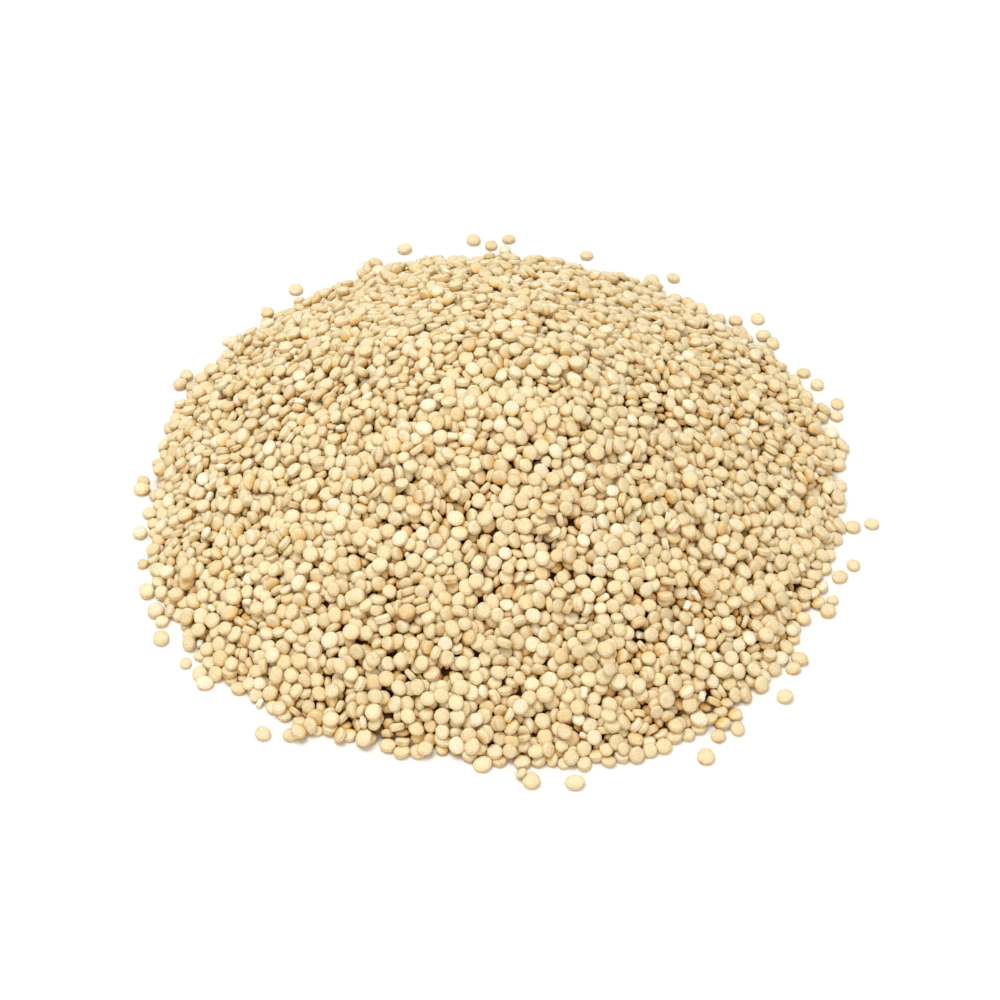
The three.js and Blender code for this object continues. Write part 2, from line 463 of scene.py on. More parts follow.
@dataclass(frozen=True)
class FloorFinish:
    """The plain pale surface under the heap.

    Args:
        name: The material's name.
        colour: Its colour.
        pale: The colour of its faint haze.
        haze: How strong the haze is.
        haze_grain: The size of the haze's patches, their finer levels and how strong those are.
        roughness: How dull it is where there is no haze.
        hazy_shine: How much less dull the haze is.
        sheen: How strongly it reflects.
    """

    name: str = "pale_floor"
    colour: Colour = (0.86, 0.85, 0.835)
    pale: Colour = (1.0, 1.0, 1.0)
    haze: float = 0.02
    haze_grain: tuple[float, float, float] = (60.0, 2.0, 0.5)
    roughness: float = 0.9
    hazy_shine: float = 0.05
    sheen: float = 0.1

    def material(self) -> bpy.types.Material:
        """Makes the material.

        Returns:
            The material.
        """
        shader = Shader(self.name)
        patches = shader.grain(*self.haze_grain)
        return shader.finish(
            Base_Color=shader.mix(self.haze * patches, self.colour, self.pale),
            Roughness=self.roughness - self.hazy_shine * patches,
            Specular_IOR_Level=self.sheen,
        )


# ---------------------------------------------------------------- modelling helpers


def deselect_all() -> None:
    """Leaves object mode with nothing selected."""
    if bpy.context.object and bpy.context.object.mode != "OBJECT":
        bpy.ops.object.mode_set(mode="OBJECT")
    bpy.ops.object.select_all(action="DESELECT")


def select_only(piece: bpy.types.Object, kind: str, test: Callable[..., bool]) -> None:
    """Goes into edit mode with the faces or the vertices selected that pass a test.

    Args:
        piece: The piece that is edited. It is the active object.
        kind: FACE or VERT.
        test: Says of one of them, in object mode, whether it is wanted.
    """
    bpy.ops.object.mode_set(mode="EDIT")
    bpy.ops.mesh.select_mode(type=kind)
    bpy.ops.mesh.select_all(action="DESELECT")
    bpy.ops.object.mode_set(mode="OBJECT")
    for part in piece.data.polygons if kind == "FACE" else piece.data.vertices:
        part.select = test(part)
    bpy.ops.object.mode_set(mode="EDIT")


def dot(first: np.ndarray, second: np.ndarray) -> np.ndarray:
    """The dot product of each row with its fellow."""
    return (first * second).sum(1)


def unit(rows: np.ndarray) -> np.ndarray:
    """The rows made one long."""
    return rows / np.sqrt(dot(rows, rows))[:, None]


def scaled(rows: np.ndarray, factors: np.ndarray) -> np.ndarray:
    """Each row times its own factor."""
    return rows * factors[:, None]


def at_most(rows: np.ndarray, length: float) -> np.ndarray:
    """The rows, with the longer ones shortened to a length."""
    return scaled(rows, np.minimum(1.0, length / np.maximum(np.sqrt(dot(rows, rows)), SHORTEST)))


# ---------------------------------------------------------------- the shapes of seeds


@dataclass
class Shape:
    """A small closed mesh with a radius of 1, which is copied many times.

    Args:
        points: The places of its vertices.
        normals: The direction that its surface faces at each vertex.
        corners: The vertex of each corner of each face, face after face.
        sides: How many corners each face has.
        half: Its half thickness.
    """

    points: np.ndarray
    normals: np.ndarray
    corners: np.ndarray
    sides: np.ndarray
    half: float

    CROWN = 0.12

    @classmethod
    def taken(cls, piece: bpy.types.Object, half: float) -> "Shape":
        """Takes the shape of a modelled piece, which is then removed. Its large faces are shaded almost flat.

        Args:
            piece: The modelled piece.
            half: Its half thickness.

        Returns:
            Its shape.
        """
        deselect_all()
        mesh = piece.data
        mesh.shade_smooth()
        modifier = piece.modifiers.new("flat_faces", "WEIGHTED_NORMAL")
        bpy.ops.object.modifier_apply(modifier=modifier.name)
        points = np.empty(len(mesh.vertices) * 3)
        mesh.vertices.foreach_get("co", points)
        corners = np.empty(len(mesh.loops), np.int64)
        mesh.loops.foreach_get("vertex_index", corners)
        facing = np.empty(len(mesh.loops) * 3)
        mesh.corner_normals.foreach_get("vector", facing)
        normals = np.empty((len(mesh.vertices), 3))
        normals[corners] = facing.reshape(-1, 3)
        sides = np.empty(len(mesh.polygons), np.int64)
        mesh.polygons.foreach_get("loop_total", sides)
        bpy.data.objects.remove(piece)
        bpy.data.meshes.remove(mesh)
        points = points.reshape(-1, 3)
        return cls(points, unit(normals + cls.CROWN * points * (1.0, 1.0, 0.0)), corners, sides, half)


@dataclass
class WholeSeed:
    """A seed like a thick lens: two domed faces with a band round its edge. Its sizes are for a radius of 1.

    Args:
        sides: How many sides it has.
        half: Its half thickness.
        band: The half height of the band.
        flat: The radius of the flat middle of its faces.
        steps: How many rings of faces the domes take.
        beak: How far the germ's tip stands out of the edge at one place.
        dish: How far the middle of its faces is sunk.
        wedge: How much thinner it is at one side.
        uneven: How far its corners are shifted at random.
        mould: Which random shifts it gets.
    """

    # How straight up or down its domed and its flat faces look, at least
    FACING, FLAT_FACING = 0.5, 0.99
    # Where the thin side starts, how wide the dish's rim is, and where the beak starts and ends
    WEDGE_FROM, DISH_RIM, BEAK_FROM, BEAK_WIDTH = 0.3, 0.22, 0.84, 0.3

    sides: int = 12
    half: float = 0.48
    band: float = 0.17
    flat: float = 0.56
    steps: int = 2
    beak: float = 0.0
    dish: float = 0.0
    wedge: float = 0.0
    uneven: float = 0.0
    mould: int = 1

    def shape(self) -> Shape:
        """Models the seed.

        Returns:
            Its shape.
        """
        deselect_all()
        bpy.ops.mesh.primitive_cylinder_add(
            vertices=self.sides, radius=1.0, depth=2 * self.band, end_fill_type="NGON"
        )
        seed = bpy.context.object
        reach = math.cos(math.pi / self.sides)
        select_only(seed, "FACE", lambda face: abs(face.normal.z) > self.FACING)
        for step in range(self.steps):
            before, after = (math.pi / 2 * k / self.steps for k in (step, step + 1))
            run = (1.0 - self.flat) * (math.cos(before) - math.cos(after))
            rise = (self.half - self.band) * (math.sin(after) - math.sin(before))
            bpy.ops.mesh.inset(thickness=run * reach, depth=rise, use_individual=True)
        if self.wedge:
            select_only(seed, "VERT", lambda point: point.co.y > self.WEDGE_FROM)
            bpy.ops.transform.resize(value=(1.0, 1.0, 1.0 - self.wedge))
        if self.dish:
            select_only(seed, "FACE", lambda face: abs(face.normal.z) > self.FLAT_FACING)
            bpy.ops.mesh.inset(thickness=self.DISH_RIM, use_individual=True)
            bpy.ops.transform.resize(value=(1.0, 1.0, 1.0 - self.dish))
        if self.beak:
            start = self.BEAK_FROM * reach
            select_only(seed, "VERT", lambda point: point.co.x > start and abs(point.co.y) < self.BEAK_WIDTH)
            bpy.ops.transform.translate(value=(self.beak, 0.0, 0.0))
        if self.uneven:
            select_only(seed, "VERT", lambda point: True)
            bpy.ops.transform.vertex_random(offset=self.uneven, seed=self.mould)
        return Shape.taken(seed, self.half)


@dataclass
class BrokenSeed:
    """A chalky scrap of a seed: a short blunt bar.

    Args:
        length: Its half length.
        width: Its half width.
        half: Its half thickness.
        rounding: How far its edges are rounded.
        taper: How wide its narrower end is, as a share of the other.
        bend: How far that end is shifted.
        uneven: How far its corners are shifted at random.
        mould: Which random shifts it gets.
    """

    FACING, ROUNDING_STEPS = 0.5, 2

    length: float = 0.80
    width: float = 0.48
    half: float = 0.40
    rounding: float = 0.26
    taper: float = 0.82
    bend: Point = (0.0, 0.05, 0.04)
    uneven: float = 0.07
    mould: int = 3

    def shape(self) -> Shape:
        """Models the scrap.

        Returns:
            Its shape.
        """
        deselect_all()
        bpy.ops.mesh.primitive_cube_add(size=2.0, scale=(self.length, self.width, self.half))
        scrap = bpy.context.object
        bpy.ops.object.transform_apply(location=False, rotation=False, scale=True)
        select_only(scrap, "FACE", lambda face: face.normal.x > self.FACING)
        bpy.ops.transform.resize(value=(1.0, self.taper, self.taper))
        bpy.ops.transform.translate(value=self.bend)
        bpy.ops.mesh.select_all(action="SELECT")
        bpy.ops.mesh.bevel(offset=self.rounding, segments=self.ROUNDING_STEPS, affect="EDGES")
        bpy.ops.transform.vertex_random(offset=self.uneven, seed=self.mould)
        return Shape.taken(scrap, self.half)


# ---------------------------------------------------------------- the kinds of seeds


@dataclass(frozen=True)
class SeedLook:
    """How common one kind of seed is, and its finish.

    Args:
        share: Its share of the seeds.
        finish: Its finish.
        shade: How dark its seeds usually are, from its coat's colour at 0 to its deep colour at 1.
        pieces: How many meshes it is joined into, side by side round the heap.
    """

    share: float
    finish: SeedFinish
    shade: float
    pieces: int = 1


class SeedKind(Enum):
    """The kinds of seeds in the heap."""

    CREAM = SeedLook(
        share=0.70,
        finish=SeedFinish(
            name="cream_coat",
            coat=(0.835, 0.745, 0.50),
            deep=(0.76, 0.63, 0.375),
            rim=(0.82, 0.66, 0.38),
            germ=(0.66, 0.41, 0.16),
        ),
        shade=0.30,
        pieces=4,
    )
    IVORY = SeedLook(
        share=0.12,
        finish=SeedFinish(
            name="ivory_coat",
            coat=(0.865, 0.795, 0.60),
            deep=(0.80, 0.70, 0.46),
            rim=(0.85, 0.72, 0.46),
            germ=(0.70, 0.48, 0.22),
        ),
        shade=0.30,
    )
    GOLDEN = SeedLook(
        share=0.09,
        finish=SeedFinish(
            name="golden_coat",
            coat=(0.83, 0.695, 0.42),
            deep=(0.75, 0.575, 0.30),
            rim=(0.79, 0.60, 0.30),
            germ=(0.62, 0.36, 0.13),
        ),
        shade=0.35,
    )
    BUFF = SeedLook(
        share=0.07,
        finish=SeedFinish(
            name="buff_coat",
            coat=(0.80, 0.69, 0.455),
            deep=(0.70, 0.575, 0.35),
            rim=(0.77, 0.62, 0.36),
            germ=(0.60, 0.39, 0.17),
        ),
        shade=0.35,
    )
    CHALK = SeedLook(
        share=0.03,
        finish=SeedFinish(
            name="chalk_white",
            coat=(0.89, 0.82, 0.64),
            deep=(0.84, 0.74, 0.52),
            rim=(0.87, 0.77, 0.57),
            germ=(0.84, 0.72, 0.50),
        ),
        shade=0.25,
    )


# ---------------------------------------------------------------- the heap's form


@dataclass
class HeapForm:
    """The heap's outer surface and the core inside it, as heights over the surface that it lies on.

    Args:
        spacing: The distance between heights.
        margin: How far the heights reach past the heap's solid.
        spread: How much wider the seeds lie than the solid.
        shift: How far they lie behind it, as an offset along x and y.
        softness: How far the solid's bumps are smoothed out.
        shell: How thick the layer of seeds over the core is.
        steepest: The steepest slope that the layer follows.
        edge: How much of the solid has to be near where the heap ends.
        foot: How low the surface is where the heap ends.
        fall: How fast the heights drop outside the heap.
        fringe_fall: How far the heights have dropped where the last loose seeds lie.

    Attributes:
        low: The corner of the grid of heights.
        top: The heights of the outer surface.
        core: The heights of the core.
        facing: The direction out of the core at each place of the grid.
    """

    # The least share of solid that a height counts for, how many neighbours are smoothed, how far from the
    # grid's end its last cell starts, and how far over the solid the look down starts
    LEAST_COVER, SMOOTHED_STEPS, LAST_STEP, CLEAR = 0.02, 6, 1.001, 1.0

    spacing: float = 0.75
    margin: float = 6.0
    spread: float = 1.012
    shift: tuple[float, float] = (-0.2, 0.2)
    softness: float = 1.3
    shell: float = 3.2
    steepest: float = 1.0
    edge: float = 0.38
    foot: float = 0.3
    fall: float = 12.0
    fringe_fall: float = 1.6
    low: np.ndarray = field(init=False)
    top: np.ndarray = field(init=False)
    core: np.ndarray = field(init=False)
    facing: np.ndarray = field(init=False)

    def __post_init__(self) -> None:
        """Reads the solid and works out both surfaces."""
        corners = np.array(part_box(HEAP_NODE)) / MM
        self.low = corners[0, :2] - self.margin
        counts = np.ceil((corners[1, :2] + self.margin - self.low) / self.spacing).astype(int) + 1
        heights = self.solid_heights(counts, corners[1, 2])
        inside = (heights > 0).astype(float)
        cover = self.smoothed(inside)
        level = self.smoothed(heights) / np.maximum(cover, self.LEAST_COVER)
        self.top = level + self.fall * np.minimum(cover - self.edge, 0.0)
        self.core = self.top - self.shell / self.leaning(self.top)[..., 2]
        self.facing = self.leaning(self.core)
        self.facing[self.top < self.foot] = UP

    def solid_heights(self, counts: np.ndarray, highest: float) -> np.ndarray:
        """Looks down on the heap's solid at every place of the grid.

        Args:
            counts: How many places there are along x and along y.
            highest: The solid's highest point.

        Returns:
            The solid's height at each place, and 0 beside it.
        """
        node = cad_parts[HEAP_NODE]
        tree = BVHTree.FromObject(node, bpy.context.evaluated_depsgraph_get())
        heights = np.zeros(counts)
        for row in range(counts[0]):
            for column in range(counts[1]):
                x, y = (self.low + self.spacing * np.array([row, column]) - self.shift) / self.spread
                start = Vector((x, y, highest + self.CLEAR)) * MM
                hit = tree.ray_cast(start, Vector((0.0, 0.0, -1.0)))[0]
                heights[row, column] = hit.z / MM if hit else 0.0
        return heights

    def smoothed(self, grid: np.ndarray) -> np.ndarray:
        """The grid, with each value spread over its neighbours."""
        wide = self.SMOOTHED_STEPS
        reach = np.arange(-wide, wide + 1) * self.spacing
        weights = np.exp(-0.5 * (reach / self.softness) ** 2)
        weights /= weights.sum()
        for axis in (0, 1):
            padded = np.pad(grid, [(wide, wide) if k == axis else (0, 0) for k in (0, 1)])
            count = grid.shape[axis]
            grid = sum(w * np.take(padded, range(k, k + count), axis) for k, w in enumerate(weights))
        return grid

    def leaning(self, grid: np.ndarray) -> np.ndarray:
        """The direction that a surface faces at every place of the grid."""
        steepest = self.steepest
        slopes = [np.clip(slope, -steepest, steepest) for slope in np.gradient(grid, self.spacing)]
        rows = np.stack([-slopes[0], -slopes[1], np.ones_like(grid)], -1)
        return rows / np.sqrt((rows**2).sum(-1))[..., None]

    def read(self, grid: np.ndarray, places: np.ndarray) -> np.ndarray:
        """Reads a grid between its places.

        Args:
            grid: One of the form's grids.
            places: Where it is read, a row each.

        Returns:
            Its values there.
        """
        steps = (places[:, :2] - self.low) / self.spacing
        steps = np.clip(steps, 0, np.array(grid.shape[:2]) - self.LAST_STEP)
        first = steps.astype(int)
        part = steps - first
        x, y = first.T
        u, v = part.T if grid.ndim == 2 else part.T[..., None]
        near = grid[x, y] * (1 - u) + grid[x + 1, y] * u
        far = grid[x, y + 1] * (1 - u) + grid[x + 1, y + 1] * u
        return near * (1 - v) + far * v

    def height(self, places: np.ndarray) -> np.ndarray:
        """The outer surface's height at places."""
        return self.read(self.top, places)

    def core_height(self, places: np.ndarray) -> np.ndarray:
        """The core's height at places."""
        return self.read(self.core, places)

    def outward(self, places: np.ndarray) -> np.ndarray:
        """The direction out of the heap at places."""
        return unit(self.read(self.facing, places))

    def depth(self, places: np.ndarray) -> np.ndarray:
        """How deep places are under the outer surface."""
        return (self.height(places) - places[:, 2]) * self.outward(places)[:, 2]

    def layer_volume(self) -> float:
        """The space between the core and the outer surface, in cubic millimetres."""
        layer = np.maximum(self.top - np.maximum(self.core, 0.0), 0.0)
        return float((layer * (self.top > self.foot)).sum() * self.spacing**2)

    def spots(
        self, count: int, wanted: Callable[[np.ndarray], np.ndarray], draw: np.random.Generator
    ) -> np.ndarray:
        """Picks places at random.

        Args:
            count: How many places are needed.
            wanted: Gives the chance, from 0 to 1, that each place is kept.
            draw: The random numbers.

        Returns:
            The places, two numbers each.
        """
        size = (np.array(self.top.shape) - 1) * self.spacing
        found = np.empty((0, 2))
        while len(found) < count:
            places = self.low + draw.random((4 * count, 2)) * size
            kept = draw.random(len(places)) < wanted(places)
            found = np.concatenate([found, places[kept]])
        return found[:count]


# ---------------------------------------------------------------- how seeds settle


@dataclass
class Seeds:
    """Seeds as flattened round bodies.

    Args:
        place: Their centres.
        axis: The direction through both faces of each.
        radius: Their radii.
        half: Their half thicknesses.
        weight: How hard each is to move.
    """

    FIXED = 1e6

    place: np.ndarray
    axis: np.ndarray
    radius: np.ndarray
    half: np.ndarray
    weight: np.ndarray

    def __len__(self) -> int:
        """How many seeds there are."""
        return len(self.place)

    def joined(self, others: "Seeds") -> "Seeds":
        """These seeds and the others, in that order."""
        return Seeds(*(np.concatenate(both) for both in zip(self.rows(), others.rows())))

    def chosen(self, which: np.ndarray) -> "Seeds":
        """Some of the seeds."""
        return Seeds(*(rows[which] for rows in self.rows()))

    def rows(self) -> list[np.ndarray]:
        """The values of all the seeds, one array for each field."""
        return [getattr(self, name) for name in self.__dataclass_fields__]

    def furthest(self, direction: np.ndarray) -> np.ndarray:
        """The point of each seed's surface, from its centre, that is furthest in a direction of its own."""
        wide = self.radius**2
        along = scaled(direction, wide) + scaled(self.axis, (self.half**2 - wide) * dot(self.axis, direction))
        return scaled(along, 1 / np.sqrt(dot(along, direction)))

    def inertia(self) -> np.ndarray:
        """How hard each seed is to turn, for a weight of 1."""
        return (self.radius**2 + self.half**2) / 5


@dataclass
class SeedPacking:
    """Lets seeds settle on the core of the heap.

    Seeds start scattered and overlapping. In each round every two that overlap are pushed apart and turned,
    those that reach into the core or the floor are pushed out, and all are drawn to the core. Later batches
    are sprinkled on top, so that the uppermost seeds lie as they came to rest.

    Args:
        form: The heap's form.
        strays: Seeds round the heap that stay where they are.
        radius: The usual radius of a seed.
        flatness: The usual thickness of a seed over its diameter.
        fill: How much of the layer the seeds fill.
        sprinkled: How many seeds come in the later batches.
        batches: How many later batches there are.
        choosy: How much rarer later seeds are outside the hollows.
        proud: How far the middle of a seed may stand over the surface.
        fringe: How many seeds lie loosely round the foot.
        tilt: How much the directions of the first seeds vary.
        late_tilt: How much the directions of the later seeds vary.
        flat_below: Under which height of the heap seeds lie flatter and flatter.
        rounds: How many rounds the first seeds get.
        late_rounds: How many rounds each later batch gets.
        draw: The random numbers.
    """

    # How the sizes vary, and how many seeds are small
    RADIUS_SPREAD, RADIUS_RANGE, SMALL_SHARE, SMALL_SIZE = 0.07, (0.80, 1.16), 0.05, 0.78
    FLATNESS_SPREAD, FLATNESS_RANGE = 0.045, (0.42, 0.68)
    # How much the seeds lean at the foot, and round it
    LEAST_LEVEL, FRINGE_TILT = 0.2, 0.15
    # Where the first seeds and the later ones start
    FIRST_LIFT, FIRST_STRETCH, LATE_LIFT, LATE_STRETCH = 0.5, 1.4, 0.2, 0.6
    BARE_BELOW, THINNED_OVER = 1.0, 2.0
    # How far a round draws the first, the later and the last seeds, at first and near the end
    FIRST_PULL, LATE_PULL, FRINGE_PULL = (0.05, 0.004), (0.03, 0.006), (0.04, 0.006)
    PULL_POWER, PULLED_SHARE, LYING_WEIGHT = 1.5, 0.9, 4.0
    # How a round moves the seeds, and how far apart two are that may touch
    DAMPING, LONGEST_MOVE, LARGEST_TURN = 0.55, 0.25, 0.3
    REACH, ROUNDS_A_SEARCH = 2.75, 8
    TOUCHING, LEAST_MEASURE, DEEPEST_OVERLAP, DEEPEST_SINK = 2.0, 1e-6, 0.4, 0.5

    form: HeapForm
    strays: Seeds
    radius: float = 0.98
    flatness: float = 0.47
    fill: float = 0.60
    sprinkled: int = 2250
    batches: int = 3
    choosy: float = 0.8
    proud: float = 0.35
    fringe: int = 28
    tilt: float = 0.9
    late_tilt: float = 1.0
    flat_below: float = 3.5
    rounds: int = 200
    late_rounds: int = 80
    draw: np.random.Generator = field(default_factory=lambda: np.random.default_rng(11))

    def sized(self, place: np.ndarray, tilt: float) -> Seeds:
        """Gives places seeds of random size and direction.

        Args:
            place: The seeds' centres.
            tilt: How much their directions vary.

        Returns:
            The seeds.
        """
        count = len(place)
        size = self.draw.normal(1.0, self.RADIUS_SPREAD, count)
        radius = self.radius * np.clip(size, *self.RADIUS_RANGE)
        small = self.draw.random(count) < self.SMALL_SHARE
        radius = np.where(small, radius * self.SMALL_SIZE, radius)
        flatness = self.draw.normal(self.flatness, self.FLATNESS_SPREAD, count)
        half = radius * np.clip(flatness, *self.FLATNESS_RANGE)
        level = np.clip(self.form.height(place) / self.flat_below, self.LEAST_LEVEL, 1.0)
        axis = unit(self.form.outward(place) + scaled(self.draw.normal(0.0, tilt, place.shape), level))
        return Seeds(place, axis, radius, half, np.ones(count))

    def scattered(self, count: int) -> Seeds:
        """The first seeds, all through the layer."""
        form = self.form

        def chance(places: np.ndarray) -> np.ndarray:
            """The layer's depth at places, as a share of its full depth."""
            depth = form.height(places) - np.maximum(form.core_height(places), 0.0)
            return np.where(form.height(places) > form.foot, depth / form.shell, 0.0)

        flat = form.spots(count, chance, self.draw)
        low = np.maximum(form.core_height(flat), 0.0)
        depth = form.height(flat) - low
        level = low + self.FIRST_LIFT + self.FIRST_STRETCH * depth * self.draw.random(count)
        return self.sized(np.column_stack([flat, level]), self.tilt)

    def covered(self, seeds: Seeds) -> np.ndarray:
        """Where seeds lie at the surface already, as 1 on the form's grid, and 0 where there is a hollow."""
        high = seeds.chosen(self.form.depth(seeds.place) < self.radius)
        cells = np.round((high.place[:, :2] - self.form.low) / self.form.spacing).astype(int)
        grid = np.zeros_like(self.form.top)
        for step in NEIGHBOURS:
            x, y = (cells + step).T
            grid[x, y] = 1.0
        return grid

    def sprinkle(self, seeds: Seeds, count: int) -> Seeds:
        """Later seeds, just over the surface, most of them in its hollows.

        Args:
            seeds: The seeds that lie there already.
            count: How many seeds come.

        Returns:
            The new seeds.
        """
        form = self.form
        covered = self.covered(seeds)

        def chance(places: np.ndarray) -> np.ndarray:
            """The chance of a seed at places on the heap."""
            on_slope = np.clip((form.height(places) - self.BARE_BELOW) / self.THINNED_OVER, 0.0, 1.0)
            return on_slope * (1.0 - self.choosy * form.read(covered, places))

        flat = form.spots(count, chance, self.draw)
        level = form.height(flat) + self.LATE_LIFT + self.LATE_STRETCH * self.draw.random(count)
        return self.sized(np.column_stack([flat, level]), self.late_tilt)

    def low_enough(self, seeds: Seeds) -> np.ndarray:
        """Which seeds don't stand proud of the heap's slope."""
        beside = self.form.height(seeds.place) < self.flat_below
        return (self.form.depth(seeds.place) > -self.proud) | beside

    def foot_seeds(self) -> Seeds:
        """Seeds that lie flat round the foot, fewer and fewer away from it."""
        form = self.form

        def chance(places: np.ndarray) -> np.ndarray:
            """The chance of a seed at places beside the heap."""
            height = form.height(places)
            return np.where(height < form.foot, np.clip(1 + height / form.fringe_fall, 0.0, 1.0) ** 2, 0.0)

        flat = form.spots(self.fringe, chance, self.draw)
        seeds = self.sized(np.column_stack([flat, np.full(self.fringe, self.radius)]), self.tilt)
        seeds.axis = unit(np.array(UP) + self.draw.normal(0.0, self.FRINGE_TILT, (self.fringe, 3)))
        return seeds

    @staticmethod
    def near_pairs(place: np.ndarray, reach: float) -> tuple[np.ndarray, np.ndarray]:
        """Finds the seeds that are near each other.

        Args:
            place: The seeds' centres.
            reach: How near.

        Returns:
            The first and the second seed of each pair.
        """
        cell = np.floor((place - place.min(0)) / reach).astype(np.int64) + 1
        size = cell.max(0) + 2
        key = (cell[:, 0] * size[1] + cell[:, 1]) * size[2] + cell[:, 2]
        order = np.argsort(key, kind="stable")
        ordered = key[order]
        firsts, seconds = [], []
        steps = [(x, y, z) for x, y in NEIGHBOURS for z in (-1, 0, 1)]
        for step in [step for step in steps if step >= (0, 0, 0)]:
            wanted = key + (step[0] * size[1] + step[1]) * size[2] + step[2]
            start = np.searchsorted(ordered, wanted, "left")
            count = np.searchsorted(ordered, wanted, "right") - start
            first = np.repeat(np.arange(len(place)), count)
            within = np.arange(count.sum()) - np.repeat(np.cumsum(count) - count, count)
            second = order[np.repeat(start, count) + within]
            kept = first < second if step == (0, 0, 0) else np.full(len(first), True)
            firsts.append(first[kept])
            seconds.append(second[kept])
        first, second = np.concatenate(firsts), np.concatenate(seconds)
        apart = place[second] - place[first]
        near = dot(apart, apart) < reach**2
        return first[near], second[near]

    @classmethod
    def overlaps(cls, seeds: Seeds, first: np.ndarray, second: np.ndarray) -> tuple[np.ndarray, ...]:
        """Finds which pairs of seeds reach into each other.

        Two ellipsoids overlap where the distance between them, measured by the sum of their shape matrices,
        is short. Each matrix is a sphere's plus one for its axis, so the sum is inverted in closed form.

        Args:
            seeds: The seeds.
            first: The first seed of each pair.
            second: The second seed of each pair.

        Returns:
            The first and second seeds of the pairs that do, the direction between each two, and how deep.
        """
        wide = seeds.radius**2
        thin = seeds.half**2 - wide
        apart = seeds.place[second] - seeds.place[first]
        one, two = seeds.axis[first], seeds.axis[second]
        both = wide[first] + wide[second]
        m11 = 1 / thin[first] + 1 / both
        m22 = 1 / thin[second] + 1 / both
        m12 = dot(one, two) / both
        along_one, along_two = dot(one, apart), dot(two, apart)
        scale = (m11 * m22 - m12**2) * both
        y1 = (m22 * along_one - m12 * along_two) / scale
        y2 = (m11 * along_two - m12 * along_one) / scale
        solved = scaled(apart - scaled(one, y1) - scaled(two, y2), 1 / both)
        measure = dot(apart, solved)
        hit = measure < cls.TOUCHING
        normal = unit(solved[hit])
        closeness = np.sqrt(cls.TOUCHING / np.maximum(measure[hit], cls.LEAST_MEASURE)) - 1
        depth = closeness * np.abs(dot(apart[hit], normal))
        return first[hit], second[hit], normal, np.minimum(depth, cls.DEEPEST_OVERLAP)

    def pushed(self, seeds: Seeds, first: np.ndarray, second: np.ndarray) -> tuple[np.ndarray, np.ndarray]:
        """Works out how the seeds push each other.

        Args:
            seeds: The seeds.
            first: The first seed of each near pair.
            second: The second seed of each near pair.

        Returns:
            How far each seed moves, and how far it turns.
        """
        first, second, normal, depth = self.overlaps(seeds, first, second)
        inertia = seeds.inertia()
        lever_one = np.cross(seeds.chosen(first).furthest(normal), normal)
        lever_two = np.cross(seeds.chosen(second).furthest(normal), normal)
        ease_one = (1 + dot(lever_one, lever_one) / inertia[first]) / seeds.weight[first]
        ease_two = (1 + dot(lever_two, lever_two) / inertia[second]) / seeds.weight[second]
        push = depth / (ease_one + ease_two)
        push_one, push_two = push / seeds.weight[first], push / seeds.weight[second]
        move, turn = np.zeros_like(seeds.place), np.zeros_like(seeds.place)
        count = len(seeds)
        for k in range(3):
            move[:, k] += np.bincount(second, push_two * normal[:, k], count)
            move[:, k] -= np.bincount(first, push_one * normal[:, k], count)
            turn[:, k] -= np.bincount(second, push_two * lever_two[:, k] / inertia[second], count)
            turn[:, k] -= np.bincount(first, push_one * lever_one[:, k] / inertia[first], count)
        return move, turn

    @classmethod
    def lifted(cls, seeds: Seeds, normal: np.ndarray, above: np.ndarray) -> tuple[np.ndarray, np.ndarray]:
        """Works out how a surface pushes the seeds that reach into it.

        Args:
            seeds: The seeds.
            normal: The direction out of the surface at each seed.
            above: How far each seed's centre is over the surface.

        Returns:
            How far each seed moves, and how far it turns.
        """
        under = seeds.furthest(normal)
        depth = np.clip(dot(under, normal) - above, 0.0, cls.DEEPEST_SINK)
        lever = np.cross(under, normal)
        push = depth / (1 + dot(lever, lever) / seeds.inertia())
        return scaled(normal, push), scaled(lever, -push / seeds.inertia())

    def settle(
        self, seeds: Seeds, rounds: int, pull: float | np.ndarray, rest_pull: float | np.ndarray
    ) -> None:
        """Moves and turns the seeds until they lie beside each other.

        Args:
            seeds: The seeds, which are changed.
            rounds: How many rounds there are.
            pull: How far each round draws the seeds onto the core or the floor at first.
            rest_pull: How far it does so near the end.
        """
        floor = np.tile(UP, (len(seeds), 1))
        free = seeds.weight < Seeds.FIXED
        for index in range(rounds):
            if index % self.ROUNDS_A_SEARCH == 0:
                first, second = self.near_pairs(seeds.place, self.REACH)
            done = index / rounds
            outward = self.form.outward(seeds.place)
            level = seeds.place[:, 2]
            above_core = (level - self.form.core_height(seeds.place)) * outward[:, 2]
            pushes = [
                self.pushed(seeds, first, second),
                self.lifted(seeds, outward, above_core),
                self.lifted(seeds, floor, level),
            ]
            move = at_most(self.DAMPING * sum(push[0] for push in pushes), self.LONGEST_MOVE)
            turn = at_most(self.DAMPING * sum(push[1] for push in pushes), self.LARGEST_TURN)
            drawn = pull * (1 - done) ** self.PULL_POWER + rest_pull if done < self.PULLED_SHARE else 0.0
            beside = self.form.height(seeds.place) < self.form.foot
            seeds.place += scaled(move - drawn * np.where(beside[:, None], floor, outward), free)
            seeds.axis = unit(seeds.axis + np.cross(scaled(turn, free), seeds.axis))

